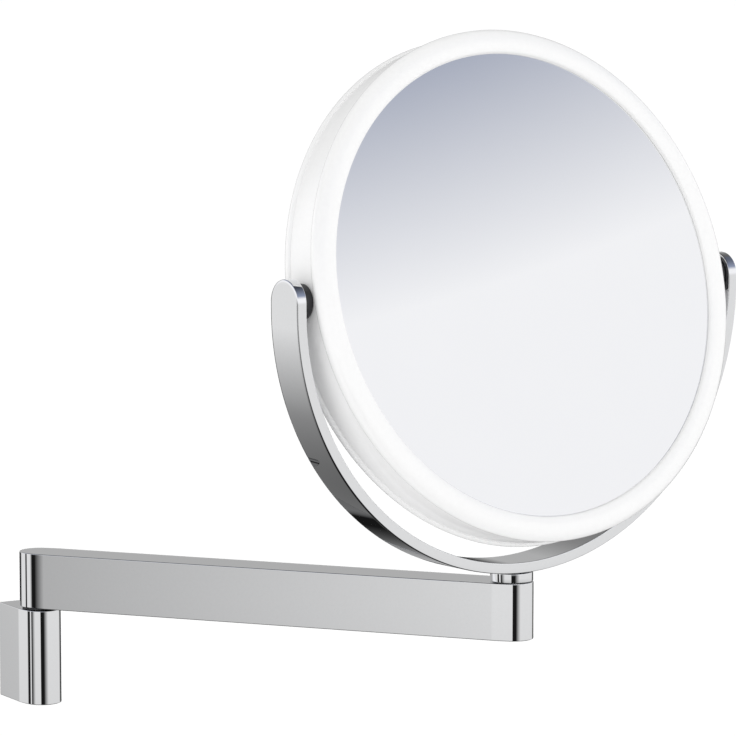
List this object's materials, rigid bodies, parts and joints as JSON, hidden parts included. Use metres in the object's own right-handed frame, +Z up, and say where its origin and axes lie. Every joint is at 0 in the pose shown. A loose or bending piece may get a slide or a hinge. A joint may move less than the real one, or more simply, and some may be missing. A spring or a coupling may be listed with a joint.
{
  "type": "wall-mounted swing-arm mirror",
  "caption": "Round mirror in a glossy white rim, tilting in a U-shaped chrome yoke that swivels on a straight swing arm with a small wall bracket.",
  "frame": {"origin": "middle of the bracket's back face, where it meets the wall", "axes": "+Z up, +Y into the wall, so the mirror stands out from the wall towards -Y"},
  "size_m": [0.2419, 0.2187, 0.2768],
  "materials": {
    "chrome": "polished chrome plate",
    "steel": "plain steel",
    "nylon": "dark plastic",
    "brass": "machined brass",
    "rubber": "black rubber",
    "white_plastic": "glossy white plastic",
    "mirror_glass": "silvered glass",
    "foam": "dense foam",
    "core_plastic": "moulded plastic"
  },
  "bodies": {
    "wall_bracket": {"wall_plate": "steel", "bracket_body": "chrome", "bracket_grub_screw": "steel", "pivot_bush_upper": "nylon", "pivot_bush_lower": "nylon", "pivot_cap": "nylon"},
    "swing_arm": {"arm_bar": "chrome", "arm_insert": "brass", "pivot_bolt": "steel", "pivot_spring_washer": "steel", "swivel_washer": "nylon", "arm_end_plug": "nylon"},
    "yoke": {"swivel_collar": "chrome", "swivel_stud": "steel", "swivel_spring_washer": "steel", "swivel_nut": "steel", "yoke_band": "chrome", "pivot_spacer_left": "nylon", "pivot_spacer_right": "nylon", "pivot_pin_left": "steel", "pivot_pin_right": "steel", "friction_ring_left": "rubber", "friction_ring_right": "rubber"},
    "mirror": {"rim_band": "white_plastic", "front_ring": "white_plastic", "rear_ring": "white_plastic", "front_glass": "mirror_glass", "rear_glass": "mirror_glass", "front_pad": "foam", "rear_pad": "foam", "core_disc": "core_plastic", "pivot_insert_left": "brass", "pivot_insert_right": "brass"}
  },
  "joints": [
    {"name": "arm_swing", "type": "hinge", "parent": "wall_bracket", "child": "swing_arm", "pos_m": [0, -0.0213, 0.0206], "axis": [0, 0, 1], "range_deg": [-127, 52]},
    {"name": "yoke_swivel", "type": "hinge", "parent": "swing_arm", "child": "yoke", "pos_m": [0.12475, -0.18271, 0.0432], "axis": [0, 0, 1], "continuous": true},
    {"name": "mirror_tilt", "type": "hinge", "parent": "yoke", "child": "mirror", "pos_m": [0.12475, -0.18271, 0.1582], "axis": [0.9963, 0.0854, 0], "continuous": true}
  ]
}
